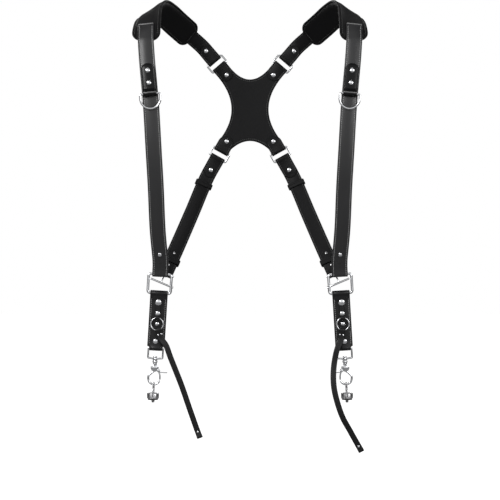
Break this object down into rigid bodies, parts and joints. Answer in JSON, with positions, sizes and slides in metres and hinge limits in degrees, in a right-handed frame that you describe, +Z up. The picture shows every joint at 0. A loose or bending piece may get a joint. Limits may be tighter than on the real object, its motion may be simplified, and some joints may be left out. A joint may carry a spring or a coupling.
{
  "type": "dual camera harness",
  "caption": "Black leather harness with padded shoulders, an X-shaped back yoke, chrome rings, and a drop tab with swivel hook and camera screw at each hip.",
  "frame": {"origin": "midway between the two shoulder tops, where the pads' middle layers lie on the wearer", "axes": "+Z up, -Y the way the wearer faces, +X towards the wearer's left shoulder, which is on the right in the picture"},
  "size_m": [0.4286, 0.2379, 0.8379],
  "materials": {
    "satin_leather": "satin, smooth",
    "back_leather": "matte",
    "pad_leather": "soft, matte",
    "chrome": "polished",
    "steel": "satin",
    "rubber": "matte"
  },
  "bodies": {
    "harness": {"back_yoke": "back_leather", "left_shoulder_pad": "pad_leather", "left_front_strap": "satin_leather", "left_upper_back_strap": "back_leather", "left_lower_back_strap": "back_leather", "left_strap_loop_upper": "back_leather", "left_strap_loop_lower": "back_leather", "left_yoke_ring_upper": "chrome", "left_yoke_ring_lower": "chrome", "left_ring_keeper": "satin_leather", "left_keeper_rivet_1": "chrome", "left_keeper_rivet_2": "chrome", "left_front_stud": "chrome", "left_upper_strap_rivet": "chrome", "left_lower_strap_rivet": "chrome", "left_yoke_rivet_upper": "chrome", "left_yoke_rivet_lower": "chrome", "left_tether": "satin_leather", "left_waist_ring": "chrome", "left_drop_tab": "satin_leather", "left_tether_keeper": "satin_leather", "left_tether_ring": "chrome", "left_swivel_loop": "chrome", "right_shoulder_pad": "pad_leather", "right_front_strap": "satin_leather", "right_upper_back_strap": "back_leather", "right_lower_back_strap": "back_leather", "right_strap_loop_upper": "back_leather", "right_strap_loop_lower": "back_leather", "right_yoke_ring_upper": "chrome", "right_yoke_ring_lower": "chrome", "right_ring_keeper": "satin_leather", "right_keeper_rivet_1": "chrome", "right_keeper_rivet_2": "chrome", "right_front_stud": "chrome", "right_upper_strap_rivet": "chrome", "right_lower_strap_rivet": "chrome", "right_yoke_rivet_upper": "chrome", "right_yoke_rivet_lower": "chrome", "right_tether": "satin_leather", "right_waist_ring": "chrome", "right_drop_tab": "satin_leather", "right_tether_keeper": "satin_leather", "right_tether_ring": "chrome", "right_swivel_loop": "chrome"},
    "left_d_ring": {"left_d_ring": "chrome"},
    "left_hook": {"left_snap_hook": "chrome"},
    "left_gate": {"left_hook_gate": "chrome"},
    "left_bail": {"left_screw_bail": "steel"},
    "left_screw": {"left_camera_screw": "steel", "left_screw_washer": "rubber"},
    "right_d_ring": {"right_d_ring": "chrome"},
    "right_hook": {"right_snap_hook": "chrome"},
    "right_gate": {"right_hook_gate": "chrome"},
    "right_bail": {"right_screw_bail": "steel"},
    "right_screw": {"right_camera_screw": "steel", "right_screw_washer": "rubber"}
  },
  "joints": [
    {"name": "left_swivel", "type": "hinge", "parent": "harness", "child": "left_hook", "pos_m": [-0.17479, -0.045, -0.6576], "axis": [0.0593, 0, 0.9982], "continuous": true},
    {"name": "left_gate_hinge", "type": "hinge", "parent": "left_hook", "child": "left_gate", "pos_m": [-0.16809, -0.045, -0.67292], "axis": [0, 1, 0], "range_deg": [0, 22], "stiffness_Nm_per_rad": 0.02, "springref_deg": -20.05},
    {"name": "left_bail_swing", "type": "hinge", "parent": "left_hook", "child": "left_bail", "pos_m": [-0.1772, -0.045, -0.69822], "axis": [0.9982, 0, -0.0593], "range_deg": [-35, 35]},
    {"name": "left_screw_pivot", "type": "hinge", "parent": "left_bail", "child": "left_screw", "pos_m": [-0.17844, -0.045, -0.71909], "axis": [0, 1, 0], "range_deg": [-60, 60]},
    {"name": "left_d_ring_hinge", "type": "hinge", "parent": "harness", "child": "left_d_ring", "pos_m": [-0.17902, -0.11654, -0.17148], "axis": [-0.9958, -0.008, -0.0913], "range_deg": [0, 130]},
    {"name": "right_swivel", "type": "hinge", "parent": "harness", "child": "right_hook", "pos_m": [0.17479, -0.045, -0.6576], "axis": [-0.0593, 0, 0.9982], "continuous": true},
    {"name": "right_gate_hinge", "type": "hinge", "parent": "right_hook", "child": "right_gate", "pos_m": [0.16809, -0.045, -0.67292], "axis": [0, -1, 0], "range_deg": [0, 22], "stiffness_Nm_per_rad": 0.02, "springref_deg": -20.05},
    {"name": "right_bail_swing", "type": "hinge", "parent": "right_hook", "child": "right_bail", "pos_m": [0.1772, -0.045, -0.69822], "axis": [0.9982, 0, 0.0593], "range_deg": [-35, 35]},
    {"name": "right_screw_pivot", "type": "hinge", "parent": "right_bail", "child": "right_screw", "pos_m": [0.17844, -0.045, -0.71909], "axis": [0, 1, 0], "range_deg": [-60, 60]},
    {"name": "right_d_ring_hinge", "type": "hinge", "parent": "harness", "child": "right_d_ring", "pos_m": [0.17902, -0.11654, -0.17148], "axis": [-0.9958, 0.008, 0.0913], "range_deg": [0, 130]}
  ]
}
